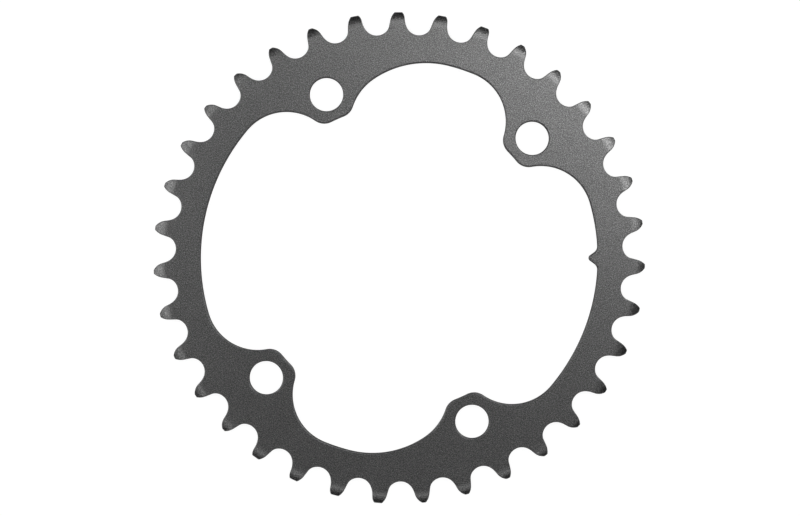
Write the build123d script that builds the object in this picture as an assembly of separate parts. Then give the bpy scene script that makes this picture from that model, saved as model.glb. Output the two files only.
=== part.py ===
from build123d import *
from math import asin, cos, degrees, radians, sin, sqrt, tan
from typing import NamedTuple
import os

# Bicycle chainring in one piece: a flat ring of teeth, with four bolt lobes and a pointer in its opening.
# It lies flat, with its axis on +Z, its back face at Z = 0 and its bolt holes on a rectangle along X and Y.
# Lengths are in millimetres. Angles are in degrees, counter-clockwise from +X, seen from the front (+Z).

# Chain and tooth ring
TOOTH_COUNT = 35
CHAIN_PITCH = 12.7
SEAT_RADIUS = 4.05          # hollow that a chain roller seats in
TIP_HEIGHT = 1.1565         # of the tips over the pitch circle, as a share of half the seats' gap
TOOTH_ANGLE = 20.03         # centre-line of tooth 0
FULL_TIP_GROUPS = (6, 22)   # first tooth of each group whose tips aren't cut back
FULL_TIP_RUN = 4            # teeth in such a group

# Counter-clockwise flank of every tooth
CCW_SEAT_END = 45.7         # lean where the seat's arc ends
CCW_FOOT_RADIUS = 3.0       # hollow arc from the seat to the straight
CCW_LEAN = 12.2             # lean of the straight towards the tooth's centre-line
CCW_STRAIGHT = 2.0          # length of the straight
CCW_LAND = 0.435            # tip left on this side of the centre-line, as a share of half the seats' gap

# Clockwise flank of a tooth whose tip is cut back
CUT_SEAT_END = 30.7
CUT_FOOT_RADIUS = 5.8
CUT_LEAN = 14.7
CUT_STRAIGHT = 1.1
CUT_LAND = 0.03

# Clockwise flank of a tooth with a full tip
FULL_SEAT_END = 25.5
FULL_FOOT_RADIUS = 6.7
FULL_LEAN = 4.9
FULL_STRAIGHT = 0.76
FULL_LAND = 0.57

# Rim and bolt lobes
RIM_WIDTH = 7.41            # from the bottom of the seats in to the opening
BOLT_CIRCLE = 107.0         # diameter
BOLT_GAP = 72.0             # angle between the two bolts of each close pair
BOLT_HOLE = 10.0            # diameter
LOBE_END = 8.0              # from a hole's centre in to the end of its lobe
LOBE_WIDTH = 14.0
LOBE_CORNER_RADIUS = 4.8
SIDE_RADIUS = 15.2          # hollow side of a lobe, in one arc
WIDE_SIDE_RADIUS = 16.2     # the wider side of a lobe: its first arc, at the corner
WIDE_SIDE_END_RADIUS = 27.8 # its second arc, into the opening
WIDE_SIDE_SPLAY = 8.4       # how much sooner than a single arc the wider side leaves its corner

# Pointer that marks how the ring is turned on the crank
POINTER_ANGLE = 12.0
POINTER_HEIGHT = 2.7
POINTER_LEAN = 40.0         # lean of its sides from its centre-line
POINTER_TIP_RADIUS = 0.75
POINTER_BASE_RADIUS = 2.0

# Section
CROWN_THICKNESS = 2.1       # the toothed part, thin enough for a narrow chain
BACK_STEP = 0.9             # extra thickness of the rim and lobes, at the back
STEP_BELOW_SEAT = 2.2       # from the bottom of the seats in to that step
RELIEF_HEIGHT = 3.8         # from the tooth tips in to where their sides begin to taper
RELIEF_START = 2.0          # slope at which the front's taper begins
RELIEF_RADIUS = 14.0        # roundness of the front's taper
BACK_BEVEL = 8.0            # slope of the back's straight taper
EDGE_BREAK = 0.25
CUT_MARGIN = 1.0            # how far the turned cuts run past the ring

# Worked out
TOOTH_STEP = 360 / TOOTH_COUNT
PITCH_RADIUS = CHAIN_PITCH / 2 / sin(radians(TOOTH_STEP / 2))
ROOT_RADIUS = PITCH_RADIUS - SEAT_RADIUS
HALF_GAP = CHAIN_PITCH / 2 - SEAT_RADIUS
TIP_RADIUS = PITCH_RADIUS + TIP_HEIGHT * HALF_GAP
INNER_RADIUS = ROOT_RADIUS - RIM_WIDTH
BOLT_RADIUS = BOLT_CIRCLE / 2
LOBE_END_RADIUS = BOLT_RADIUS - LOBE_END
STEP_RADIUS = ROOT_RADIUS - STEP_BELOW_SEAT
RELIEF_START_RADIUS = TIP_RADIUS - RELIEF_HEIGHT
CUT_RADIUS = TIP_RADIUS + CUT_MARGIN
PLATE_THICKNESS = CROWN_THICKNESS + BACK_STEP
BOLT_ANGLES = [half_turn + side * BOLT_GAP / 2 for half_turn in (90, 270) for side in (-1, 1)]
AXIS = Vector(0, 0)


class Flank(NamedTuple):
    """One side of a tooth, from its roller seat to its tip."""
    seat_end: float
    foot_radius: float
    lean: float
    straight: float
    land: float


CCW_FLANK = Flank(CCW_SEAT_END, CCW_FOOT_RADIUS, CCW_LEAN, CCW_STRAIGHT, CCW_LAND)
CUT_FLANK = Flank(CUT_SEAT_END, CUT_FOOT_RADIUS, CUT_LEAN, CUT_STRAIGHT, CUT_LAND)
FULL_FLANK = Flank(FULL_SEAT_END, FULL_FOOT_RADIUS, FULL_LEAN, FULL_STRAIGHT, FULL_LAND)


def polar(radius, angle):
    """The point at a radius and an angle."""
    return Vector(radius * cos(radians(angle)), radius * sin(radians(angle)))


def arc(start, centre, end):
    """The shorter arc from start to end about a centre."""
    middle = (start + end - centre * 2).normalized()
    return ThreePointArc(start, centre + middle * (start - centre).length, end)


def toward(start, end, distance):
    """The point at a distance from start, in the direction of end."""
    return start + (end - start).normalized() * distance


def crossing(centre_a, radius_a, centre_b, radius_b, side):
    """Where two circles cross: left of the line from a to b with side 1, right of it with side -1."""
    apart = (centre_b - centre_a).length
    along = (radius_a**2 - radius_b**2 + apart**2) / (2 * apart)
    across = sqrt(radius_a**2 - along**2)
    ahead = (centre_b - centre_a).normalized()
    return centre_a + ahead * along + Vector(-ahead.Y, ahead.X) * side * across


def flank_edges(flank, side):
    """The edges of one flank of a tooth on +X, from seat to tip: side 1 counter-clockwise, -1 clockwise."""
    def outward(lean):
        return Vector(sin(radians(lean)), side * cos(radians(lean)))

    # Seat to straight
    seat_centre = polar(PITCH_RADIUS, side * TOOTH_STEP / 2)
    seat_end = seat_centre - outward(flank.seat_end) * SEAT_RADIUS
    foot_centre = seat_end + outward(flank.seat_end) * flank.foot_radius
    foot_end = foot_centre - outward(flank.lean) * flank.foot_radius
    rise = Vector(cos(radians(flank.lean)), -side * sin(radians(flank.lean)))
    straight_end = foot_end + rise * flank.straight

    # The arc that leaves the straight without a kink and ends at the corner of the tip
    corner = polar(TIP_RADIUS, side * degrees(asin(flank.land * HALF_GAP / TIP_RADIUS)))
    chord = straight_end - corner
    top_radius = chord.length**2 / (2 * outward(flank.lean).dot(chord))
    top_centre = straight_end - outward(flank.lean) * top_radius
    return [
        arc(seat_end, foot_centre, foot_end),
        Line(foot_end, straight_end),
        arc(straight_end, top_centre, corner),
    ]


def tooth_outline():
    """The closed outline of the tooth ring."""
    full_teeth = {first + n for first in FULL_TIP_GROUPS for n in range(FULL_TIP_RUN)}
    teeth = []
    for tooth in range(TOOTH_COUNT):
        turn = Rot(0, 0, TOOTH_ANGLE + tooth * TOOTH_STEP)
        cw_flank = FULL_FLANK if tooth in full_teeth else CUT_FLANK
        cw_edges = [turn * edge for edge in flank_edges(cw_flank, -1)]
        ccw_edges = [turn * edge for edge in flank_edges(CCW_FLANK, 1)]
        teeth.append((cw_edges, ccw_edges))

    edges = []
    for tooth, (cw_edges, ccw_edges) in enumerate(teeth):
        next_cw_edges = teeth[(tooth + 1) % TOOTH_COUNT][0]
        seat_centre = polar(PITCH_RADIUS, TOOTH_ANGLE + (tooth + 0.5) * TOOTH_STEP)
        tip_land = arc(cw_edges[-1] @ 1, AXIS, ccw_edges[-1] @ 1)
        seat = arc(ccw_edges[0] @ 0, seat_centre, next_cw_edges[0] @ 0)
        edges += cw_edges + [tip_land] + ccw_edges + [seat]
    return make_face(edges)


def lobe_side(side, wide):
    """The edges of one side of a lobe on +X, from the middle of its end to the rim of the opening."""
    corner_radius = LOBE_CORNER_RADIUS
    corner_reach = LOBE_END_RADIUS + corner_radius
    corner_angle = side * degrees(asin((LOBE_WIDTH / 2 - corner_radius) / corner_reach))
    corner_centre = polar(corner_reach, corner_angle)
    end_middle = polar(LOBE_END_RADIUS, 0)
    corner_start = polar(LOBE_END_RADIUS, corner_angle)

    first_radius = WIDE_SIDE_RADIUS if wide else SIDE_RADIUS
    first_centre = crossing(AXIS, INNER_RADIUS - first_radius,
                            corner_centre, first_radius + corner_radius, side)
    if wide:
        splayed = (first_centre - corner_centre).rotate(Axis.Z, side * WIDE_SIDE_SPLAY)
        first_centre = corner_centre + splayed
    corner_end = toward(corner_centre, first_centre, corner_radius)
    edges = [arc(end_middle, AXIS, corner_start), arc(corner_start, corner_centre, corner_end)]
    if wide:
        last_radius = WIDE_SIDE_END_RADIUS
        last_centre = crossing(AXIS, INNER_RADIUS - last_radius,
                               first_centre, last_radius - first_radius, side)
        first_end = toward(last_centre, first_centre, last_radius)
        rim_point = toward(AXIS, last_centre, INNER_RADIUS)
        return edges + [arc(corner_end, first_centre, first_end), arc(first_end, last_centre, rim_point)]
    rim_point = toward(AXIS, first_centre, INNER_RADIUS)
    return edges + [arc(corner_end, first_centre, rim_point)]


def pointer_side(side):
    """The edges of one side of the pointer on +X, from its tip to the rim of the opening."""
    outward = Vector(-sin(radians(POINTER_LEAN)), side * cos(radians(POINTER_LEAN)))
    rise = Vector(cos(radians(POINTER_LEAN)), side * sin(radians(POINTER_LEAN)))
    tip = polar(INNER_RADIUS - POINTER_HEIGHT, 0)
    tip_centre = tip + Vector(POINTER_TIP_RADIUS, 0)
    tip_end = tip_centre + outward * POINTER_TIP_RADIUS

    # The base arc touches the straight side and the opening's circle
    foot = tip_end + outward * POINTER_BASE_RADIUS
    base_reach = INNER_RADIUS - POINTER_BASE_RADIUS
    ahead = foot.dot(rise)
    straight = sqrt(ahead**2 + base_reach**2 - foot.length**2) - ahead
    base_centre = foot + rise * straight
    straight_end = tip_end + rise * straight
    rim_point = toward(AXIS, base_centre, INNER_RADIUS)
    return [
        arc(tip, tip_centre, tip_end),
        Line(tip_end, straight_end),
        arc(straight_end, base_centre, rim_point),
    ]


def from_rim(right, left):
    """A face that stands in from the rim between two sides and overlaps the rim behind them."""
    behind = INNER_RADIUS + RIM_WIDTH / 2
    right_rim = right[-1] @ 1
    left_rim = left[-1] @ 1
    right_behind = toward(AXIS, right_rim, behind)
    left_behind = toward(AXIS, left_rim, behind)
    closing = [
        Line(right_rim, right_behind),
        arc(right_behind, AXIS, left_behind),
        Line(left_behind, left_rim),
    ]
    return make_face(right + closing + left)


def ring_outline():
    """The ring seen from the front: teeth, rim, lobes, pointer and bolt holes."""
    outline = tooth_outline() - Circle(INNER_RADIUS)
    for number, angle in enumerate(BOLT_ANGLES):
        # The second lobe of each close pair is wider on the side of the first
        wide = number % 2 == 1
        outline += Rot(0, 0, angle) * from_rim(lobe_side(-1, wide), lobe_side(1, False))
    outline += Rot(0, 0, POINTER_ANGLE) * from_rim(pointer_side(-1), pointer_side(1))
    for angle in BOLT_ANGLES:
        outline -= Pos(polar(BOLT_RADIUS, angle)) * Circle(BOLT_HOLE / 2)
    return outline


def front_turning():
    """What is turned off the front: the rounded taper of the tooth tips."""
    start = Vector(RELIEF_START_RADIUS, 0, PLATE_THICKNESS)
    slope = radians(RELIEF_START)
    centre = start - Vector(sin(slope), 0, cos(slope)) * RELIEF_RADIUS
    end_slope = asin((CUT_RADIUS - centre.X) / RELIEF_RADIUS)
    end = centre + Vector(sin(end_slope), 0, cos(end_slope)) * RELIEF_RADIUS
    above = PLATE_THICKNESS + CUT_MARGIN
    rest = Polyline(end, (CUT_RADIUS, 0, above), (RELIEF_START_RADIUS, 0, above), start)
    return revolve(make_face([arc(start, centre, end), rest]), Axis.Z)


def back_turning():
    """What is turned off the back: the sloped step to the crown, and the tooth tips' straight taper."""
    drop = (CUT_RADIUS - RELIEF_START_RADIUS) * tan(radians(BACK_BEVEL))
    outline = Polyline((STEP_RADIUS - BACK_STEP - CUT_MARGIN, 0, -CUT_MARGIN),
                       (STEP_RADIUS, 0, BACK_STEP),
                       (RELIEF_START_RADIUS, 0, BACK_STEP),
                       (CUT_RADIUS, 0, BACK_STEP + drop),
                       (CUT_RADIUS, 0, -CUT_MARGIN),
                       close=True)
    return revolve(make_face(outline), Axis.Z)


def chainring():
    """The finished ring: cut from plate, its edges broken, and its tooth crown turned thinner."""
    plate = extrude(ring_outline(), PLATE_THICKNESS)
    back, front = plate.faces().sort_by(Axis.Z)[0], plate.faces().sort_by(Axis.Z)[-1]
    back_loops = [wire.edges() for wire in back.inner_wires()]
    back_holes = [loop[0] for loop in back_loops if len(loop) == 1]
    plate = chamfer(front.edges() + back_holes, EDGE_BREAK)
    return plate - front_turning() - back_turning()


part = chainring()
os.makedirs("parts", exist_ok=True)
export_step(part, "parts/chainring.step")
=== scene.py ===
"""Studio scene of a flat bicycle chainring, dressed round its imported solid.

The ring is one piece of metal. Its outlines are arcs that touch one another, its faces are polar grids
between those outlines, and its edges are one rounded profile carried along each outline.
Lengths are in metres and angles in radians, counter-clockwise from +X as seen from the front (+Z).
"""

import logging
from dataclasses import dataclass, field
from enum import Enum

import bpy
import numpy as np
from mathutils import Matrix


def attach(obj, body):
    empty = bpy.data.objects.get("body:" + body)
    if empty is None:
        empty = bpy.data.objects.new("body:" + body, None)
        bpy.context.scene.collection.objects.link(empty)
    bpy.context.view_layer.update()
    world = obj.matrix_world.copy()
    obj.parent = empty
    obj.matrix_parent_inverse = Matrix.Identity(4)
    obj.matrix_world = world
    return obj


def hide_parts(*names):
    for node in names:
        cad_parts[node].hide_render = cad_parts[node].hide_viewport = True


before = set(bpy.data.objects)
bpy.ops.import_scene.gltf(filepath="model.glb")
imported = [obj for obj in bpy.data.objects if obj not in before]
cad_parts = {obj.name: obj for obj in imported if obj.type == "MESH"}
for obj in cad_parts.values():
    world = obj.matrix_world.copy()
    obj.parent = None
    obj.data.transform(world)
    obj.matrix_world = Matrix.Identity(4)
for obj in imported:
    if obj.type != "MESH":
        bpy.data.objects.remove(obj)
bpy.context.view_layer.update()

LOG = logging.getLogger("chainring_scene")
MM = 0.001
FULL_TURN = 2 * np.pi
AXIS = np.zeros(2)
ARC_POINTS = 81
WELD = 1e-8
GRAIN_DETAIL = 1.0
CLOUD_DETAIL = 3.0
NOISE_MIDDLE = 0.5


def polar(radius: np.ndarray | float, angle: np.ndarray | float) -> np.ndarray:
    """Gives plan points from their distance and direction from the axis.

    Args:
        radius: distances from the axis.
        angle: directions, which broadcast with the distances.

    Returns:
        The points, with x and y in the last place.
    """
    radius, angle = np.broadcast_arrays(radius, angle)
    return np.stack([radius * np.cos(angle), radius * np.sin(angle)], axis=-1)


def bearing(vectors: np.ndarray) -> np.ndarray:
    """Gives the direction angle of plan vectors."""
    return np.arctan2(vectors[..., 1], vectors[..., 0])


def unit(vectors: np.ndarray) -> np.ndarray:
    """Gives vectors of length one in the same directions."""
    return vectors / np.linalg.norm(vectors, axis=-1, keepdims=True)


def crossing(centre_a: np.ndarray, radius_a: float, centre_b: np.ndarray, radius_b: float) -> np.ndarray:
    """Finds where two circles cross, left of the line from the first centre to the second.

    Args:
        centre_a: centre of the first circle.
        radius_a: its radius.
        centre_b: centre of the second circle.
        radius_b: its radius.

    Returns:
        The crossing: along the line of centres by the share that both circles agree on, then square to it.
    """
    apart = np.linalg.norm(centre_b - centre_a)
    ahead = (centre_b - centre_a) / apart
    along = (radius_a**2 - radius_b**2 + apart**2) / (2 * apart)
    across = np.sqrt(radius_a**2 - along**2)
    return centre_a + ahead * along + np.array([-ahead[1], ahead[0]]) * across


class Bend(Enum):
    """Which way a round stretch of an outline bends, seen from the metal."""

    BULGING = 1
    HOLLOW = -1


@dataclass(frozen=True)
class Outline:
    """Points along an edge of the plate, each with the direction angle that faces out of the metal there."""

    points: np.ndarray
    facing: np.ndarray

    @classmethod
    def arc(cls, centre: np.ndarray, radius: float, bend: Bend, start: float, end: float) -> "Outline":
        """Makes a round stretch: the centre plus or minus the radius times a facing that turns evenly.

        Args:
            centre: centre of the arc.
            radius: its radius.
            bend: bulging adds the radius along the facing, hollow takes it off.
            start: facing at the first point.
            end: facing at the last point, reached by the shorter way round.

        Returns:
            The stretch.
        """
        sweep = (end - start + np.pi) % FULL_TURN - np.pi
        facing = start + sweep * np.linspace(0.0, 1.0, ARC_POINTS)
        return cls(centre + bend.value * radius * polar(1.0, facing), facing)

    @classmethod
    def joined(cls, *stretches: "Outline") -> "Outline":
        """Puts stretches end to end; a gap between two that touch the same line is a straight run."""
        facing = np.unwrap(np.concatenate([stretch.facing for stretch in stretches]))
        return cls(np.concatenate([stretch.points for stretch in stretches]), facing)

    def inset(self, depth: float) -> "Outline":
        """Gives the line that runs inside the metal at a depth."""
        return Outline(self.points - depth * polar(1.0, self.facing), self.facing)

    def mirrored(self) -> "Outline":
        """Gives the outline mirrored across the X axis, run the other way."""
        return Outline((self.points * [1.0, -1.0])[::-1], -self.facing[::-1])

    def turned(self, angle: float) -> "Outline":
        """Gives the outline turned about the axis."""
        return Outline(polar(self.reach(), bearing(self.points) + angle), self.facing + angle)

    def reach(self) -> np.ndarray:
        """Gives each point's distance from the axis."""
        return np.linalg.norm(self.points, axis=-1)

    def length(self) -> np.ndarray:
        """Gives the length of the outline up to each point."""
        steps = np.linalg.norm(np.diff(self.points, axis=0), axis=-1)
        return np.concatenate([[0.0], np.cumsum(steps)])

    def reversed(self) -> "Outline":
        """Gives the outline run the other way."""
        return Outline(self.points[::-1], self.facing[::-1])

    def at_reach(self, radii: np.ndarray) -> tuple[np.ndarray, np.ndarray]:
        """Reads the outline where it passes given distances from the axis.

        Args:
            radii: the distances.

        Returns:
            Direction angles from the axis, and facings.
        """
        order = np.argsort(self.reach(), kind="stable")
        passed = self.reach()[order]
        angle = np.interp(radii, passed, bearing(self.points)[order])
        return angle, np.interp(radii, passed, self.facing[order])

    def at_share(self, share: np.ndarray, end_reach: float) -> tuple[np.ndarray, np.ndarray, np.ndarray]:
        """Reads the outline at shares of its length, up to where it passes a distance from the axis.

        Args:
            share: shares of that length.
            end_reach: the distance.

        Returns:
            Distances and direction angles from the axis, and facings.
        """
        length, reach = self.length(), self.reach()
        where = share * np.interp(end_reach, reach, length)
        angle = np.interp(where, length, bearing(self.points))
        return np.interp(where, length, reach), angle, np.interp(where, length, self.facing)


class Side(Enum):
    """The two faces of the plate, by the way that each looks along the axis."""

    FRONT = 1
    BACK = -1


@dataclass
class Section:
    """Height of the front and back faces at each distance from the axis."""

    plate: float = 3.0 * MM
    crown_back: float = 0.9 * MM
    step_radius: float = 64.593 * MM
    taper_radius: float = 69.698 * MM
    taper_round: float = 12.0 * MM
    back_bevel: float = np.radians(8.0)

    def front(self, reach: np.ndarray) -> tuple[np.ndarray, np.ndarray]:
        """Gives the front's height and slope: flat, then falling away along a circle's arc.

        Args:
            reach: distances from the axis.

        Returns:
            Heights, and how much they rise for each metre outwards.
        """
        beyond = np.maximum(reach - self.taper_radius, 0.0)
        lean = np.arcsin(beyond / self.taper_round)
        return self.plate - self.taper_round * (1 - np.cos(lean)), -np.tan(lean)

    def back(self, reach: np.ndarray) -> tuple[np.ndarray, np.ndarray]:
        """Gives the back's height and slope: flat, a step sloped at 45 degrees, flat, then a straight bevel.

        Args:
            reach: distances from the axis.

        Returns:
            Heights, and how much they rise for each metre outwards.
        """
        step_foot = self.step_radius - self.crown_back
        bevel = np.tan(self.back_bevel)
        height = np.clip(reach - step_foot, 0.0, self.crown_back)
        height = height + np.maximum(reach - self.taper_radius, 0.0) * bevel
        on_step = (reach > step_foot) & (reach < self.step_radius)
        return height, np.where(on_step, 1.0, np.where(reach > self.taper_radius, bevel, 0.0))

    def faces(self, plan: np.ndarray) -> list[tuple[int, np.ndarray, np.ndarray, np.ndarray]]:
        """Gives the front and the back over plan points, with normals that lean against the slope.

        Args:
            plan: plan points, x and y in the last place.

        Returns:
            For each face the number of its side, and its heights, slopes and unit normals.
        """
        reach = np.linalg.norm(plan, axis=-1)
        faces = []
        for side, (height, slope) in ((Side.FRONT, self.front(reach)), (Side.BACK, self.back(reach))):
            lean = -side.value * slope[..., None] * plan / reach[..., None]
            upright = np.full_like(height, side.value)[..., None]
            faces.append((side.value, height, slope, unit(np.concatenate([lean, upright], axis=-1))))
        return faces


class Finish(Enum):
    """Material numbers on the ring."""

    FACE = 0
    WALL = 1


@dataclass
class Shell:
    """Surface patches of one piece, welded into a closed mesh."""

    section: Section
    edge_steps: int = 6
    points: list[np.ndarray] = field(default_factory=list)
    normals: list[np.ndarray] = field(default_factory=list)
    faces: list[np.ndarray] = field(default_factory=list)
    finishes: list[np.ndarray] = field(default_factory=list)
    count: int = 0

    def add(self, points: np.ndarray, normals: np.ndarray, faces: np.ndarray, finish: Finish) -> None:
        """Keeps one patch, its faces turned to look the way its normals do.

        Args:
            points: places, x, y and z in the last place.
            normals: unit directions out of the metal, one for each place.
            faces: corner numbers, four to a face, or three and the first again.
            finish: which of the ring's materials they get.
        """
        points, normals = points.reshape(-1, 3), normals.reshape(-1, 3)
        corners = points[faces]
        across = np.cross(corners[:, 2] - corners[:, 0], corners[:, 3] - corners[:, 1])
        inward = np.einsum("ij,ij->i", across, normals[faces].sum(axis=1)) < 0
        faces = np.where(inward[:, None], faces[:, ::-1], faces)
        self.points.append(points)
        self.normals.append(normals)
        self.faces.append(faces + self.count)
        self.finishes.append(np.full(len(faces), finish.value))
        self.count += len(points)

    def add_faces(self, plan: np.ndarray, faces: np.ndarray) -> None:
        """Lays one plan patch on the front and on the back: each height is a function of the distance out.

        Args:
            plan: plan points, x and y in the last place.
            faces: corner numbers of the patch.
        """
        for _, height, _, normals in self.section.faces(plan):
            points = np.concatenate([plan, height[..., None]], axis=-1)
            self.add(points, normals, faces, Finish.FACE)

    def add_edge(self, inner: np.ndarray, facing: np.ndarray, edge: float) -> None:
        """Carries the edge profile along a closed line that runs one edge radius inside the outline.

        The profile turns from the front's own slope round to the wall, runs down it, and turns on to the
        back. Where the face already leans by an angle, the round's radius is the edge radius over one less
        that angle's sine, so that it still ends on the outline.

        Args:
            inner: plan points of the line, in order.
            facing: direction angles out of the metal at them.
            edge: the edge radius.
        """
        outward = polar(1.0, facing)
        wall = np.column_stack([outward, np.zeros(len(inner))])
        along_slope = np.einsum("ij,ij->i", outward, inner) / np.linalg.norm(inner, axis=-1)
        share = np.linspace(0.0, 1.0, self.edge_steps + 1)[:, None]
        turn = share[..., None] * np.pi / 2
        rows, row_normals = [], []
        for side, height, slope, normals in self.section.faces(inner):
            start = np.arctan(-side * slope * along_slope)
            lean = start + (np.pi / 2 - start) * share
            radius = edge / (1 - np.sin(start))
            plan = inner + (radius * (np.sin(lean) - np.sin(start)))[..., None] * outward
            drop = radius * (np.cos(start) - np.cos(lean))
            rows.append(np.concatenate([plan, (height - side * drop)[..., None]], axis=-1))
            row_normals.append(unit(np.cos(turn) * normals + np.sin(turn) * wall))
        points = np.concatenate([rows[0], rows[1][::-1]])
        normals = np.concatenate([row_normals[0], row_normals[1][::-1]])
        faces = grid_faces(*points.shape[:2], closed=True)
        wall_row = np.arange(len(faces)) // points.shape[1] == self.edge_steps
        self.add(points, normals, faces[~wall_row], Finish.FACE)
        self.add(points, normals, faces[wall_row], Finish.WALL)

    def mesh(self, name: str) -> bpy.types.Mesh:
        """Welds the patches where their points coincide and writes the mesh, smooth, with its own normals.

        Args:
            name: name of the mesh.

        Returns:
            The mesh.
        """
        points, normals = np.concatenate(self.points), np.concatenate(self.normals)
        faces, finishes = np.concatenate(self.faces), np.concatenate(self.finishes)
        keys = np.round(points / WELD).astype(np.int64)
        _, first, place = np.unique(keys, axis=0, return_index=True, return_inverse=True)
        faces = place.reshape(-1)[faces]
        is_triangle = faces[:, 0] == faces[:, 3]
        corners = faces[~is_triangle].tolist() + faces[is_triangle, :3].tolist()
        numbers = np.concatenate([finishes[~is_triangle], finishes[is_triangle]])
        mesh = bpy.data.meshes.new(name)
        mesh.from_pydata(points[first].tolist(), [], corners)
        mesh.polygons.foreach_set("material_index", numbers.astype(np.int32))
        mesh.polygons.foreach_set("use_smooth", np.ones(len(corners), dtype=bool))
        mesh.update()
        mesh.normals_split_custom_set_from_vertices(normals[first].tolist())
        return mesh


def grid_faces(rows: int, columns: int, closed: bool) -> np.ndarray:
    """Gives the four-cornered faces of a grid of points.

    Args:
        rows: rows of points.
        columns: points in a row.
        closed: whether the last point of a row joins the first.

    Returns:
        Corner numbers, four to a face, row by row.
    """
    number = np.arange(rows * columns).reshape(rows, columns)
    after = np.roll(number, -1, axis=1)
    faces = np.stack([number[:-1], after[:-1], after[1:], number[1:]], axis=-1)
    return (faces if closed else faces[:, :-1]).reshape(-1, 4)


def zip_faces(outer: np.ndarray, inner: np.ndarray) -> np.ndarray:
    """Joins two circles of points, each with its own spacing, by triangles.

    Going round once, each point that is passed closes a triangle with its neighbour before it on the same
    circle and the last point passed on the other.

    Args:
        outer: direction angles of the outer circle's points.
        inner: direction angles of the inner circle's points.

    Returns:
        Corner numbers, three and the first again; the inner points are numbered after the outer ones.
    """
    order = np.argsort(np.concatenate([outer, inner]) % FULL_TURN)
    is_outer = order < len(outer)
    outer_order, inner_order = order[is_outer], order[~is_outer]
    outer_last, inner_last = np.cumsum(is_outer) - 1, np.cumsum(~is_outer) - 1
    before = np.where(is_outer, outer_order[outer_last - 1], inner_order[inner_last - 1])
    passed = outer_order[outer_last]
    return np.stack([passed, inner_order[inner_last], before, passed], axis=-1)


class TipForm(Enum):
    """How the clockwise side of a tooth's tip is cut."""

    CUT_BACK = 0
    FULL = 1


@dataclass(frozen=True)
class Flank:
    """One side of a tooth: a foot arc out of the roller seat, a leaning straight, and an arc to the tip."""

    seat_end: float
    foot_radius: float
    lean: float
    straight: float
    land: float


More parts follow.
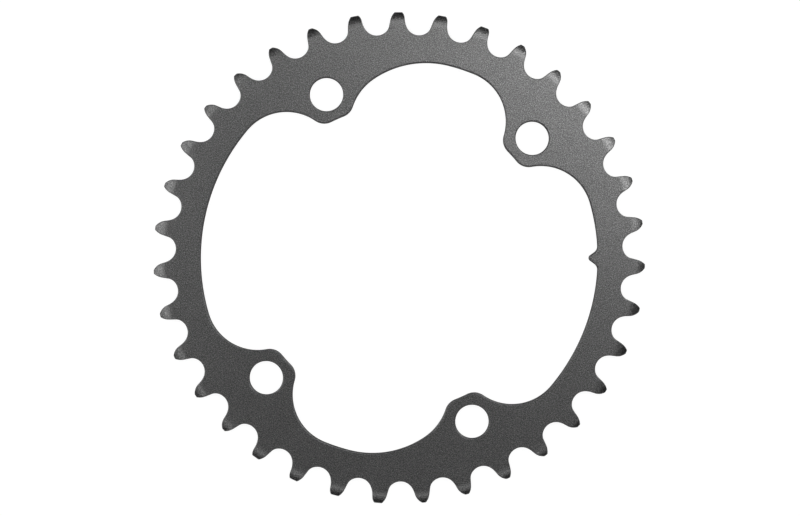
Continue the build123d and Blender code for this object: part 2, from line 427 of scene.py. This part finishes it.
@dataclass
class ToothRing:
    """The toothed crown, with its roller seats and two forms of tip."""

    count: int = 35
    chain_pitch: float = 12.7 * MM
    seat_radius: float = 4.05 * MM
    tip_height: float = 2.66 * MM
    first_angle: float = np.radians(20.03)
    full_groups: tuple[int, ...] = (6, 22)
    full_run: int = 4
    corner_radius: float = 0.38 * MM
    edge_radius: float = 0.25 * MM
    leading: Flank = Flank(
        seat_end=np.radians(45.7), foot_radius=3.0 * MM,
        lean=np.radians(12.2), straight=2.0 * MM, land=1.0005 * MM,
    )
    cut_back: Flank = Flank(
        seat_end=np.radians(30.7), foot_radius=5.8 * MM,
        lean=np.radians(14.7), straight=1.1 * MM, land=0.069 * MM,
    )
    full: Flank = Flank(
        seat_end=np.radians(25.5), foot_radius=6.7 * MM,
        lean=np.radians(4.9), straight=0.76 * MM, land=1.311 * MM,
    )
    base_radius: float = 68.1 * MM
    columns: int = 8
    seat_columns: int = 20
    base_rows: int = 5
    taper_rows: int = 11
    crown_rows: int = 3
    row_gap: float = 0.08 * MM
    tip_gap: float = 0.05 * MM
    tip_turns: tuple[float, ...] = tuple(np.radians([75.0, 55.0, 35.0, 16.0, 0.0]))

    @property
    def step(self) -> float:
        """Angle from one tooth to the next."""
        return FULL_TURN / self.count

    @property
    def pitch_radius(self) -> float:
        """Radius on which the roller centres lie, one pitch apart in a straight line."""
        return self.chain_pitch / 2 / np.sin(self.step / 2)

    @property
    def tip_radius(self) -> float:
        """Radius of the tooth tips."""
        return self.pitch_radius + self.tip_height

    def forms(self) -> np.ndarray:
        """Gives each tooth's tip form, as the form's number."""
        from_group = (np.arange(self.count)[:, None] - np.array(self.full_groups)) % self.count
        return np.where((from_group < self.full_run).any(axis=1), TipForm.FULL.value, TipForm.CUT_BACK.value)

    def flank_outline(self, flank: Flank) -> Outline:
        """Gives the counter-clockwise side of a tooth on +X, from the bottom of its seat to its tip.

        The facing starts along the seat's own centre-line, turns up the hollow of seat and foot, holds along
        the straight, and turns back over the topping arc and the tip's small corner to face straight out.

        Args:
            flank: sizes of the side.

        Returns:
            The outline.
        """
        seat_facing, rise_facing = np.pi / 2 - flank.seat_end, np.pi / 2 - flank.lean
        seat_centre = polar(self.pitch_radius, self.step / 2)
        foot_centre = seat_centre + (flank.foot_radius - self.seat_radius) * polar(1.0, seat_facing)
        foot_end = foot_centre - flank.foot_radius * polar(1.0, rise_facing)
        straight_end = foot_end + flank.straight * polar(1.0, -flank.lean)
        corner = polar(self.tip_radius, np.arcsin(flank.land / self.tip_radius))
        chord = straight_end - corner
        top_radius = chord @ chord / (2 * polar(1.0, rise_facing) @ chord)
        top_centre = straight_end - top_radius * polar(1.0, rise_facing)
        small = self.corner_radius
        corner_centre = crossing(AXIS, self.tip_radius - small, top_centre, top_radius - small)
        top_end = bearing(corner_centre - top_centre)
        return Outline.joined(
            Outline.arc(seat_centre, self.seat_radius, Bend.HOLLOW, self.step / 2, seat_facing),
            Outline.arc(foot_centre, flank.foot_radius, Bend.HOLLOW, seat_facing, rise_facing),
            Outline.arc(top_centre, top_radius, Bend.BULGING, rise_facing, top_end),
            Outline.arc(corner_centre, small, Bend.BULGING, top_end, bearing(corner_centre)),
        )

    def row_radii(self, section: Section) -> np.ndarray:
        """Gives the radii of a tooth's rows: even, closer where the taper starts and in the tip's corner.

        Args:
            section: where the taper starts.

        Returns:
            Radii from the base to the inside of the tip.
        """
        corner_low = self.tip_radius - self.corner_radius
        tip_rows = corner_low + (self.corner_radius - self.edge_radius) * np.cos(self.tip_turns)
        return np.concatenate([
            np.linspace(self.base_radius, section.taper_radius - self.row_gap, self.base_rows),
            np.linspace(section.taper_radius + self.row_gap, corner_low - self.tip_gap, self.taper_rows),
            tip_rows,
        ])

    def build(self, shell: Shell, inner_radii: np.ndarray) -> np.ndarray:
        """Builds the teeth, the crown inside them and the toothed edge.

        A tooth is a grid of arcs about the axis, shared out evenly from its clockwise to its
        counter-clockwise side. The crown runs straight in from the tooth bases and the roller seats.

        Args:
            shell: what the patches are added to.
            inner_radii: radii of the crown's round rows, going in.

        Returns:
            Plan points of the innermost row.
        """
        edge = self.edge_radius
        lead = self.flank_outline(self.leading).inset(edge)
        trails = [self.flank_outline(flank).inset(edge).mirrored() for flank in (self.cut_back, self.full)]
        forms = self.forms()
        radii = self.row_radii(shell.section)
        centre = self.first_angle + self.step * np.arange(self.count)
        lead_angle, lead_facing = lead.at_reach(radii)
        trail_reads = np.array([trail.at_reach(radii) for trail in trails])
        trail_angle, trail_facing = trail_reads[forms].swapaxes(0, 1)
        share = np.linspace(0.0, 1.0, self.columns + 1)
        spread = trail_angle[..., None] + (lead_angle - trail_angle)[..., None] * share
        teeth = polar(radii[:, None], centre[:, None, None] + spread)
        grid = grid_faces(len(radii), self.columns + 1, closed=False)
        each = np.arange(self.count)[:, None, None] * (len(radii) * (self.columns + 1))
        shell.add_faces(teeth, (grid + each).reshape(-1, 4))

        seat, seat_facing = self.seat_points(lead, trails, centre, forms)
        bases = np.concatenate([teeth[:, 0], seat], axis=1).reshape(-1, 2)
        base_reach, base_angle = np.linalg.norm(bases, axis=-1), bearing(bases)
        fall = np.linspace(0.0, 1.0, self.crown_rows + 1)[1:, None]
        falling = base_reach + (inner_radii[0] - base_reach) * fall
        round_rows = np.repeat(inner_radii[1:, None], len(bases), axis=1)
        crown = np.concatenate([bases[None], polar(np.concatenate([falling, round_rows]), base_angle)])
        shell.add_faces(crown, grid_faces(*crown.shape[:2], closed=True))

        land = teeth[:, -1, 1:-1]
        loop = np.concatenate([teeth[:, :, 0], land, teeth[:, ::-1, -1], seat], axis=1)
        up_facing = centre[:, None] + trail_facing
        down_facing = centre[:, None] + lead_facing[::-1]
        facing = np.concatenate([up_facing, bearing(land), down_facing, seat_facing], axis=1)
        shell.add_edge(loop.reshape(-1, 2), facing.reshape(-1), edge)
        return crown[-1]

    def seat_points(self, lead: Outline, trails: list[Outline], centre: np.ndarray,
                    forms: np.ndarray) -> tuple[np.ndarray, np.ndarray]:
        """Samples each roller seat evenly by length, from one tooth's base to the next one's.

        Args:
            lead: counter-clockwise side of a tooth, inset.
            trails: clockwise side of each tip form, inset, run from tip to seat.
            centre: direction angle of each tooth.
            forms: number of each tooth's tip form.

        Returns:
            Plan points between the teeth, and their facings, one row for each tooth's seat.
        """
        half = self.seat_columns // 2
        next_form = np.roll(forms, -1)
        next_centre = (centre + self.step)[:, None]
        share = np.linspace(0.0, 1.0, half + 1)
        down_reach, down_angle, down_facing = lead.at_share(share[-2::-1], self.base_radius)
        ups = [trail.reversed().at_share(share[1:-1], self.base_radius) for trail in trails]
        up_reach, up_angle, up_facing = np.array(ups)[next_form].swapaxes(0, 1)
        fall = polar(down_reach, centre[:, None] + down_angle)
        rise = polar(up_reach, next_centre + up_angle)
        facing = np.concatenate([centre[:, None] + down_facing, next_centre + up_facing], axis=1)
        return np.concatenate([fall, rise], axis=1), facing


@dataclass
class BoltHoles:
    """Four plain holes, in two close pairs."""

    circle_radius: float = 53.5 * MM
    hole_radius: float = 5.0 * MM
    pair_angles: tuple[float, ...] = (np.radians(90.0), np.radians(270.0))
    pair_gap: float = np.radians(72.0)
    columns: int = 40

    def angles(self) -> np.ndarray:
        """Gives the direction of each hole from the axis."""
        middles = np.array(self.pair_angles)[:, None]
        return (middles + self.pair_gap / 2 * np.array([-1, 1])).reshape(-1)

    def turns(self) -> np.ndarray:
        """Gives even turns about a hole's centre, between the two lines from the axis that touch it."""
        return np.linspace(-np.pi / 2, np.pi / 2, self.columns + 1)

    def column_angles(self, edge: float) -> np.ndarray:
        """Gives the columns' directions from a hole's centre-line, to meet its inset edge at those turns."""
        return np.arcsin((self.hole_radius + edge) / self.circle_radius * np.sin(self.turns()))

    def reaches(self, edge: float) -> tuple[np.ndarray, np.ndarray]:
        """Gives where each column meets a hole's inset edge: half its chord beyond and short of the middle.

        Args:
            edge: how far the edge is inset.

        Returns:
            Distances from the axis to the far half and to the near half.
        """
        middle = self.circle_radius * np.cos(self.column_angles(edge))
        half = (self.hole_radius + edge) * np.cos(self.turns())
        return middle + half, middle - half


@dataclass
class SpiderOpening:
    """The opening for the crank's spider: a round rim with bolt lobes and one small pointer."""

    rim_radius: float = 59.383 * MM
    lobe_end_radius: float = 45.5 * MM
    lobe_width: float = 14.0 * MM
    lobe_corner: float = 4.8 * MM
    side_radius: float = 15.2 * MM
    wide_radius: float = 16.2 * MM
    wide_end_radius: float = 27.8 * MM
    wide_splay: float = np.radians(8.4)
    pointer_angle: float = np.radians(12.0)
    pointer_height: float = 2.7 * MM
    pointer_lean: float = np.radians(35.5)
    pointer_tip: float = 1.05 * MM
    pointer_base: float = 2.2 * MM
    edge_radius: float = 0.40 * MM
    column_gap: float = 0.75 * MM
    turn_length: float = 7.0 * MM
    web_rows: int = 4

    def lobe_side(self, wide: bool) -> Outline:
        """Gives the counter-clockwise side of a lobe on +X, from the middle of its end to the rim.

        Args:
            wide: whether the side splays out and ends in a second, larger arc.

        Returns:
            The outline: end arc, bulging corner, then one or two hollow arcs that touch the rim.
        """
        reach = self.lobe_end_radius + self.lobe_corner
        corner_angle = np.arcsin((self.lobe_width / 2 - self.lobe_corner) / reach)
        corner_centre = polar(reach, corner_angle)
        radius = self.wide_radius if wide else self.side_radius
        centre = crossing(AXIS, self.rim_radius - radius, corner_centre, radius + self.lobe_corner)
        leaving = bearing(centre - corner_centre) + (self.wide_splay if wide else 0.0)
        centre = corner_centre + (radius + self.lobe_corner) * polar(1.0, leaving)
        stretches = [
            Outline.arc(AXIS, self.lobe_end_radius, Bend.HOLLOW, np.pi, np.pi + corner_angle),
            Outline.arc(corner_centre, self.lobe_corner, Bend.BULGING, np.pi + corner_angle, leaving),
        ]
        last_centre, last_radius, last_facing = centre, radius, leaving
        if wide:
            last_radius = self.wide_end_radius
            last_centre = crossing(AXIS, self.rim_radius - last_radius, centre, last_radius - radius)
            last_facing = bearing(last_centre - centre)
            stretches.append(Outline.arc(centre, radius, Bend.HOLLOW, leaving, last_facing))
        rim_facing = bearing(-last_centre)
        stretches.append(Outline.arc(last_centre, last_radius, Bend.HOLLOW, last_facing, rim_facing))
        return Outline.joined(*stretches)

    def pointer_side(self) -> Outline:
        """Gives the counter-clockwise side of the pointer on +X.

        Returns:
            The outline: rounded tip, straight, then a hollow arc that touches the rim.
        """
        leaving = np.pi / 2 + self.pointer_lean
        outward, rise = polar(1.0, leaving), polar(1.0, self.pointer_lean)
        tip_centre = np.array([self.rim_radius - self.pointer_height + self.pointer_tip, 0.0])
        foot = tip_centre + outward * (self.pointer_tip + self.pointer_base)
        ahead = foot @ rise
        straight = np.sqrt(ahead**2 + (self.rim_radius - self.pointer_base)**2 - foot @ foot) - ahead
        base_centre = foot + rise * straight
        return Outline.joined(
            Outline.arc(tip_centre, self.pointer_tip, Bend.BULGING, np.pi, leaving),
            Outline.arc(base_centre, self.pointer_base, Bend.HOLLOW, leaving, bearing(-base_centre)),
        )

    def outline(self, holes: BoltHoles) -> Outline:
        """Gives the whole opening, once round from the pointer's tip; every second lobe has one wide side.

        Args:
            holes: the bolt holes that the lobes carry.

        Returns:
            The outline, its facing turning towards the axis.
        """
        plain, wide, pointer = self.lobe_side(False), self.lobe_side(True), self.pointer_side()
        features = []
        for number, angle in enumerate(holes.angles()):
            clockwise = wide if number % 2 == 1 else plain
            features.append(Outline.joined(clockwise.mirrored(), plain).turned(angle))
        features.append(pointer.mirrored().turned(self.pointer_angle))
        stretches = [pointer.turned(self.pointer_angle)]
        for feature in features:
            last, first = bearing(stretches[-1].points[-1]), bearing(feature.points[0])
            rim = Outline.arc(AXIS, self.rim_radius, Bend.HOLLOW, last + np.pi, first + np.pi)
            stretches += [rim, feature]
        return Outline.joined(*stretches)

    def share_columns(self, line: Outline, holes: BoltHoles) -> tuple[np.ndarray, np.ndarray]:
        """Shares out the web's columns, once round.

        Inside a hole's width they meet its edge evenly. Between the holes they are even in the opening's
        length plus a fixed length for each radian that the opening turns.

        Args:
            line: the opening's line.
            holes: the bolt holes.

        Returns:
            Direction angles of the columns, and one row for each hole of its own columns' places among them.
        """
        angle = np.unwrap(bearing(line.points))
        turning = np.concatenate([[0.0], np.cumsum(np.abs(np.diff(line.facing)))])
        weight = line.length() + self.turn_length * turning
        two_turns = np.concatenate([angle, angle[1:] + FULL_TURN])
        two_weights = np.concatenate([weight, weight[1:] + weight[-1]])
        at_holes = holes.angles()[:, None] + holes.column_angles(self.edge_radius)
        next_starts = np.append(at_holes[1:, 0], at_holes[0, 0] + FULL_TURN)
        gap_ends = np.interp(np.stack([at_holes[:, -1], next_starts], axis=1), two_turns, two_weights)
        columns, places, total = [], [], 0
        for own, (start, end) in zip(at_holes, gap_ends):
            count = int(np.ceil((end - start) / self.column_gap))
            between = np.interp(np.linspace(start, end, count + 1)[1:-1], two_weights, two_turns)
            columns += [own, between]
            places.append(total + np.arange(len(own)))
            total += len(own) + len(between)
        return np.concatenate(columns), np.array(places)

    def build(self, shell: Shell, holes: BoltHoles, web_radius: float) -> np.ndarray:
        """Builds the web between the crown and the opening, with the bolt holes in it.

        Columns run straight in from the web's outer circle to the opening. Inside a hole's width each one
        stops at the hole's far edge and starts again at its near edge; between the holes it only has a joint
        at the share where the hole's edge would be.

        Args:
            shell: what the patches are added to.
            holes: the bolt holes.
            web_radius: radius of the web's outer circle.

        Returns:
            Direction angles of the columns.
        """
        edge = self.edge_radius
        line = self.outline(holes).inset(edge)
        columns, hole_places = self.share_columns(line, holes)
        angle = np.unwrap(bearing(line.points))
        in_turn = (columns - angle[0]) % FULL_TURN + angle[0]
        opening_reach = np.interp(in_turn, angle, line.reach())
        opening_facing = np.interp(in_turn, angle, line.facing)

        far, near = holes.reaches(edge)
        touch_share = (far[0] - opening_reach[0]) / (web_radius - opening_reach[0])
        joint = opening_reach + (web_radius - opening_reach) * touch_share
        outer_ends, inner_ends = joint.copy(), joint.copy()
        outer_ends[hole_places], inner_ends[hole_places] = far, near

        steps = np.linspace(0.0, 1.0, self.web_rows + 1)[:, None]
        outer_web = polar(web_radius + (outer_ends - web_radius) * steps, columns)
        inner_web = polar(inner_ends + (opening_reach - inner_ends) * steps, columns)
        for web in (outer_web, inner_web):
            shell.add_faces(web, grid_faces(*web.shape[:2], closed=True))
        shell.add_edge(inner_web[-1], opening_facing, edge)
        for places, centre in zip(hole_places, polar(holes.circle_radius, holes.angles())):
            rim = np.concatenate([outer_web[-1, places], inner_web[0, places][-2:0:-1]])
            shell.add_edge(rim, bearing(centre - rim), edge)
        return columns


@dataclass(frozen=True)
class BlastedMetal:
    """Aluminium, blasted to a fine grain and anodised dark grey.

    The grain's shade averages a little over one, so the colour is written a little under the metal's own.
    """

    colour: float = 0.112
    roughness: float = 0.276
    grain_size: float = 0.27 * MM
    grain_contrast: float = 26.0
    grain_depth: float = 0.02 * MM
    cloud_size: float = 9.0 * MM
    cloud_shade: float = 0.12

    def grain_inputs(self) -> dict[str, float]:
        """Gives the grain group's inputs by name; a scale is one over a size."""
        return {
            "Grain Scale": 1.0 / self.grain_size,
            "Grain Contrast": self.grain_contrast,
            "Cloud Scale": 1.0 / self.cloud_size,
            "Cloud Shade": self.cloud_shade,
        }


def add_math(tree: bpy.types.NodeTree, operation: str, first: bpy.types.NodeSocket,
             second: bpy.types.NodeSocket | float, clamp: bool = False) -> bpy.types.NodeSocket:
    """Adds a Math node to a tree.

    Args:
        tree: what the node is added to.
        operation: what it does with its two inputs.
        first: output that its first input reads.
        second: output that its second input reads, or a number for it.
        clamp: whether the result is kept between nought and one.

    Returns:
        The node's output.
    """
    node = tree.nodes.new("ShaderNodeMath")
    node.operation = operation
    node.use_clamp = clamp
    tree.links.new(first, node.inputs[0])
    if isinstance(second, bpy.types.NodeSocket):
        tree.links.new(second, node.inputs[1])
    else:
        node.inputs[1].default_value = second
    return node.outputs[0]


def new_value_group(name: str, inputs: dict[str, float], outputs: list[str]) -> bpy.types.NodeTree:
    """Makes an empty node group of plain values, with a Vector input first.

    Args:
        name: name of the group.
        inputs: value inputs and their defaults.
        outputs: value outputs.

    Returns:
        The group, with its input and output nodes.
    """
    group = bpy.data.node_groups.new(name, "ShaderNodeTree")
    group.interface.new_socket("Vector", in_out="INPUT", socket_type="NodeSocketVector")
    for key, value in inputs.items():
        socket = group.interface.new_socket(key, in_out="INPUT", socket_type="NodeSocketFloat")
        socket.default_value = value
    for key in outputs:
        group.interface.new_socket(key, in_out="OUTPUT", socket_type="NodeSocketFloat")
    group.nodes.new("NodeGroupInput")
    group.nodes.new("NodeGroupOutput")
    return group


def grain_group() -> bpy.types.NodeTree:
    """Makes the blasted grain: fine noise for height and shade, and slow clouds in the shade.

    Returns:
        A group whose Shade is the contrast to the power of the fine noise's distance from its middle, plus
        the clouds' distance times their strength, and whose Height is the fine noise alone.
    """
    group = new_value_group("blasted_grain", BlastedMetal().grain_inputs(), ["Shade", "Height"])
    nodes, links = group.nodes, group.links
    source, sink = nodes["Group Input"], nodes["Group Output"]
    shades = []
    for prefix, detail, operation, strength in (
        ("Grain", GRAIN_DETAIL, "POWER", "Grain Contrast"),
        ("Cloud", CLOUD_DETAIL, "MULTIPLY", "Cloud Shade"),
    ):
        noise = nodes.new("ShaderNodeTexNoise")
        noise.inputs["Detail"].default_value = detail
        links.new(source.outputs["Vector"], noise.inputs["Vector"])
        links.new(source.outputs[f"{prefix} Scale"], noise.inputs["Scale"])
        centred = add_math(group, "SUBTRACT", noise.outputs[0], NOISE_MIDDLE)
        shades.append(add_math(group, operation, source.outputs[strength], centred))
        if prefix == "Grain":
            links.new(noise.outputs[0], sink.inputs["Height"])
    links.new(add_math(group, "ADD", *shades), sink.inputs["Shade"])
    return group


def blasted_material(name: str, finish: BlastedMetal, grain: bpy.types.NodeTree) -> bpy.types.Material:
    """Makes a blasted metal from its finish.

    Args:
        name: name of the material.
        finish: its values.
        grain: the shared grain group.

    Returns:
        The material.
    """
    material = bpy.data.materials.new(name)
    material.use_nodes = True
    nodes, links = material.node_tree.nodes, material.node_tree.links
    shader = nodes["Principled BSDF"]
    shader.inputs["Metallic"].default_value = 1.0
    shader.inputs["Roughness"].default_value = finish.roughness
    place = nodes.new("ShaderNodeTexCoord")
    blasted = nodes.new("ShaderNodeGroup")
    blasted.node_tree = grain
    for key, value in finish.grain_inputs().items():
        blasted.inputs[key].default_value = value
    links.new(place.outputs["Object"], blasted.inputs["Vector"])
    tint = nodes.new("ShaderNodeVectorMath")
    tint.operation = "SCALE"
    tint.inputs[0].default_value = (finish.colour,) * 3
    links.new(blasted.outputs["Shade"], tint.inputs["Scale"])
    links.new(tint.outputs[0], shader.inputs["Base Color"])
    bump = nodes.new("ShaderNodeBump")
    bump.inputs["Distance"].default_value = finish.grain_depth
    links.new(blasted.outputs["Height"], bump.inputs["Height"])
    links.new(bump.outputs["Normal"], shader.inputs["Normal"])
    return material


@dataclass
class Chainring:
    """The whole ring: toothed crown, web with lobes and holes, and edges, as one closed piece."""

    section: Section = field(default_factory=Section)
    teeth: ToothRing = field(default_factory=ToothRing)
    holes: BoltHoles = field(default_factory=BoltHoles)
    opening: SpiderOpening = field(default_factory=SpiderOpening)
    face: BlastedMetal = BlastedMetal()
    wall: BlastedMetal = BlastedMetal(roughness=0.38)
    crown_outside: float = 65.3 * MM
    crown_inside: float = 63.25 * MM
    web_radius: float = 62.85 * MM
    crease: float = 0.07 * MM

    def build(self) -> bpy.types.Object:
        """Builds the ring as an object at the origin.

        Returns:
            The ring, not yet dressed.
        """
        shell = Shell(self.section)
        step, foot = self.section.step_radius, self.section.step_radius - self.section.crown_back
        creases = [step + self.crease, step - self.crease, foot + self.crease, foot - self.crease]
        inner_radii = np.array([self.crown_outside, *creases, self.crown_inside])
        crown_circle = self.teeth.build(shell, inner_radii)
        columns = self.opening.build(shell, self.holes, self.web_radius)
        web_circle = polar(self.web_radius, columns)
        seam = np.concatenate([crown_circle, web_circle])
        shell.add_faces(seam, zip_faces(bearing(crown_circle), columns))
        ring = bpy.data.objects.new("chainring_piece", shell.mesh("chainring_piece"))
        bpy.context.scene.collection.objects.link(ring)
        return ring

    def dress(self, ring: bpy.types.Object) -> None:
        """Gives the ring its finishes, in the order of their numbers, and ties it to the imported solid.

        Args:
            ring: the ring's object.
        """
        grain = grain_group()
        ring.data.materials.append(blasted_material("blasted_face", self.face, grain))
        ring.data.materials.append(blasted_material("blasted_side", self.wall, grain))
        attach(ring, "root")
        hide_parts("chainring")


@dataclass(frozen=True)
class SoftBox:
    """A flat lamp that looks at the ring's centre, placed as seen in the picture."""

    name: str
    bearing: float
    zenith: float
    distance: float
    tall: float
    wide: float
    radiance: float


@dataclass
class Studio:
    """White floor and low round wall, soft boxes, and a camera that looks straight down on the ring.

    The sensor's width is in millimetres, as the camera's own settings are.
    """

    picture_turn: float = np.radians(12.0)
    picture_width: float = 238.97 * MM
    aside: float = 0.23 * MM
    camera_height: float = 0.95
    sensor: float = 36.0
    floor_gap: float = 0.1 * MM
    floor_rings: tuple[float, ...] = (0.05, 0.2, 0.6, 1.2)
    floor_radius: float = 2.6
    floor_columns: int = 96
    wall_height: float = 0.7
    wall_round: float = 0.4
    round_steps: int = 12
    floor_colour: float = 0.12
    floor_glow: float = 0.95
    contact_reach: float = 0.1
    surround_above: float = 0.008
    surround_around: float = 0.65
    surround_zenith: tuple[float, float] = (np.radians(49.0), np.radians(56.0))
    boxes: tuple[SoftBox, ...] = (
        SoftBox(
            "key_box", bearing=np.radians(26.0), zenith=np.radians(31.0),
            distance=0.50, tall=0.17, wide=0.17, radiance=3.7,
        ),
        SoftBox(
            "top_box", bearing=np.radians(55.0), zenith=np.radians(16.4),
            distance=1.08, tall=0.36, wide=0.36, radiance=4.2,
        ),
        SoftBox(
            "left_box", bearing=np.radians(167.5), zenith=np.radians(32.5),
            distance=0.61, tall=0.38, wide=0.38, radiance=2.2,
        ),
        SoftBox(
            "lower_strip", bearing=np.radians(-92.0), zenith=np.radians(20.5),
            distance=1.60, tall=0.34, wide=1.25, radiance=1.6,
        ),
        SoftBox(
            "overhead_box", bearing=np.radians(-80.0), zenith=np.radians(10.0),
            distance=1.60, tall=0.50, wide=0.50, radiance=0.17,
        ),
    )

    def build_camera(self, front: float) -> None:
        """Sets up the camera: its long lens frames the picture's width on the ring's front face.

        Args:
            front: height of the front face.
        """
        data = bpy.data.cameras.new("camera")
        data.sensor_width = self.sensor
        data.lens = self.sensor * self.camera_height / self.picture_width
        camera = bpy.data.objects.new("camera", data)
        x, y = polar(self.aside, self.picture_turn)
        camera.location = (x, y, front + self.camera_height)
        camera.rotation_euler = (0.0, 0.0, self.picture_turn)
        bpy.context.scene.collection.objects.link(camera)
        bpy.context.scene.camera = camera

    def build_boxes(self) -> None:
        """Hangs the soft boxes: the power of each is its radiance times pi times its area."""
        for box in self.boxes:
            data = bpy.data.lights.new(box.name, "AREA")
            data.shape = "RECTANGLE"
            data.size = box.tall
            data.size_y = box.wide
            data.energy = box.radiance * np.pi * box.tall * box.wide
            lamp = bpy.data.objects.new(box.name, data)
            across = box.distance * np.sin(box.zenith)
            x, y = polar(across, box.bearing + self.picture_turn)
            lamp.location = (x, y, box.distance * np.cos(box.zenith))
            lamp.rotation_euler = (0.0, box.zenith, box.bearing + self.picture_turn)
            lamp.visible_camera = False
            bpy.context.scene.collection.objects.link(lamp)

    def build_floor(self) -> bpy.types.Object:
        """Builds floor and wall as one surface: a profile of floor, round and wall turned about the axis.

        Returns:
            The surface.
        """
        bend = np.linspace(0.0, np.pi / 2, self.round_steps + 1)
        round_out = self.floor_radius - self.wall_round + self.wall_round * np.sin(bend)
        round_up = self.wall_round * (1 - np.cos(bend))
        out = np.concatenate([self.floor_rings, round_out, [self.floor_radius]])
        up = np.concatenate([np.zeros(len(self.floor_rings)), round_up, [self.wall_height]])
        around = np.linspace(0.0, FULL_TURN, self.floor_columns, endpoint=False)
        plan = polar(out[:, None], around)
        height = np.broadcast_to(up[:, None] - self.floor_gap, plan.shape[:2])
        points = np.concatenate([plan, height[..., None]], axis=-1).reshape(-1, 3)
        faces = grid_faces(*plan.shape[:2], closed=True)[:, ::-1]
        mesh = bpy.data.meshes.new("studio_floor")
        mesh.from_pydata(points.tolist(), [], faces.tolist() + [list(range(len(around)))])
        mesh.polygons.foreach_set("use_smooth", np.ones(len(mesh.polygons), dtype=bool))
        floor = bpy.data.objects.new("studio_floor", mesh)
        bpy.context.scene.collection.objects.link(floor)
        floor.data.materials.append(self.floor_material())
        return floor

    def floor_material(self) -> bpy.types.Material:
        """Makes the white floor: matt, with a glow that only the camera and reflections see.

        A reflection sees the glow in full from a hand's breadth away and less of it from nearer, where the
        ring itself would shade the floor.

        Returns:
            The material.
        """
        material = bpy.data.materials.new("white_floor")
        material.use_nodes = True
        tree = material.node_tree
        nodes, links = tree.nodes, tree.links
        shader = nodes["Principled BSDF"]
        shader.inputs["Base Color"].default_value = (self.floor_colour,) * 3 + (1.0,)
        shader.inputs["Roughness"].default_value = 1.0
        shader.inputs["Specular IOR Level"].default_value = 0.0
        glow = nodes.new("ShaderNodeEmission")
        path = nodes.new("ShaderNodeLightPath").outputs
        mirrored = add_math(tree, "MAXIMUM", path["Is Glossy Ray"], path["Is Transmission Ray"])
        away = add_math(tree, "DIVIDE", path["Ray Length"], self.contact_reach, clamp=True)
        shaded = add_math(tree, "MULTIPLY", mirrored, away)
        seen = add_math(tree, "MAXIMUM", path["Is Camera Ray"], shaded)
        links.new(add_math(tree, "MULTIPLY", seen, self.floor_glow), glow.inputs["Strength"])
        both = nodes.new("ShaderNodeAddShader")
        links.new(shader.outputs[0], both.inputs[0])
        links.new(glow.outputs[0], both.inputs[1])
        links.new(both.outputs[0], nodes["Material Output"].inputs["Surface"])
        return material

    def build_surround(self) -> None:
        """Sets the plain light from all round: dim above, and brighter from the sides.

        The strength goes evenly from one to the other with the direction's height, between the cosines of
        two angles from straight up.
        """
        world = bpy.data.worlds.new("studio_surround")
        world.use_nodes = True
        nodes, links = world.node_tree.nodes, world.node_tree.links
        shade = nodes["Background"]
        shade.inputs["Color"].default_value = (1.0,) * 4
        direction = nodes.new("ShaderNodeTexCoord")
        parts = nodes.new("ShaderNodeSeparateXYZ")
        links.new(direction.outputs["Generated"], parts.inputs[0])
        fade = nodes.new("ShaderNodeMapRange")
        high, low = np.cos(self.surround_zenith)
        fade.inputs["From Min"].default_value = low
        fade.inputs["From Max"].default_value = high
        fade.inputs["To Min"].default_value = self.surround_around
        fade.inputs["To Max"].default_value = self.surround_above
        links.new(parts.outputs["Z"], fade.inputs["Value"])
        links.new(fade.outputs["Result"], shade.inputs["Strength"])
        bpy.context.scene.world = world


def main() -> None:
    """Builds the ring, dresses it, and sets up the studio."""
    logging.basicConfig(level=logging.INFO, format="%(name)s: %(message)s")
    bpy.context.scene.view_settings.view_transform = "Standard"
    chainring = Chainring()
    ring = chainring.build()
    chainring.dress(ring)
    LOG.info("%s: %d points, %d faces", ring.name, len(ring.data.vertices), len(ring.data.polygons))
    studio = Studio()
    studio.build_camera(chainring.section.plate)
    studio.build_boxes()
    floor = studio.build_floor()
    LOG.info("%s: %d faces", floor.name, len(floor.data.polygons))
    studio.build_surround()


if __name__ == "__main__":
    main()
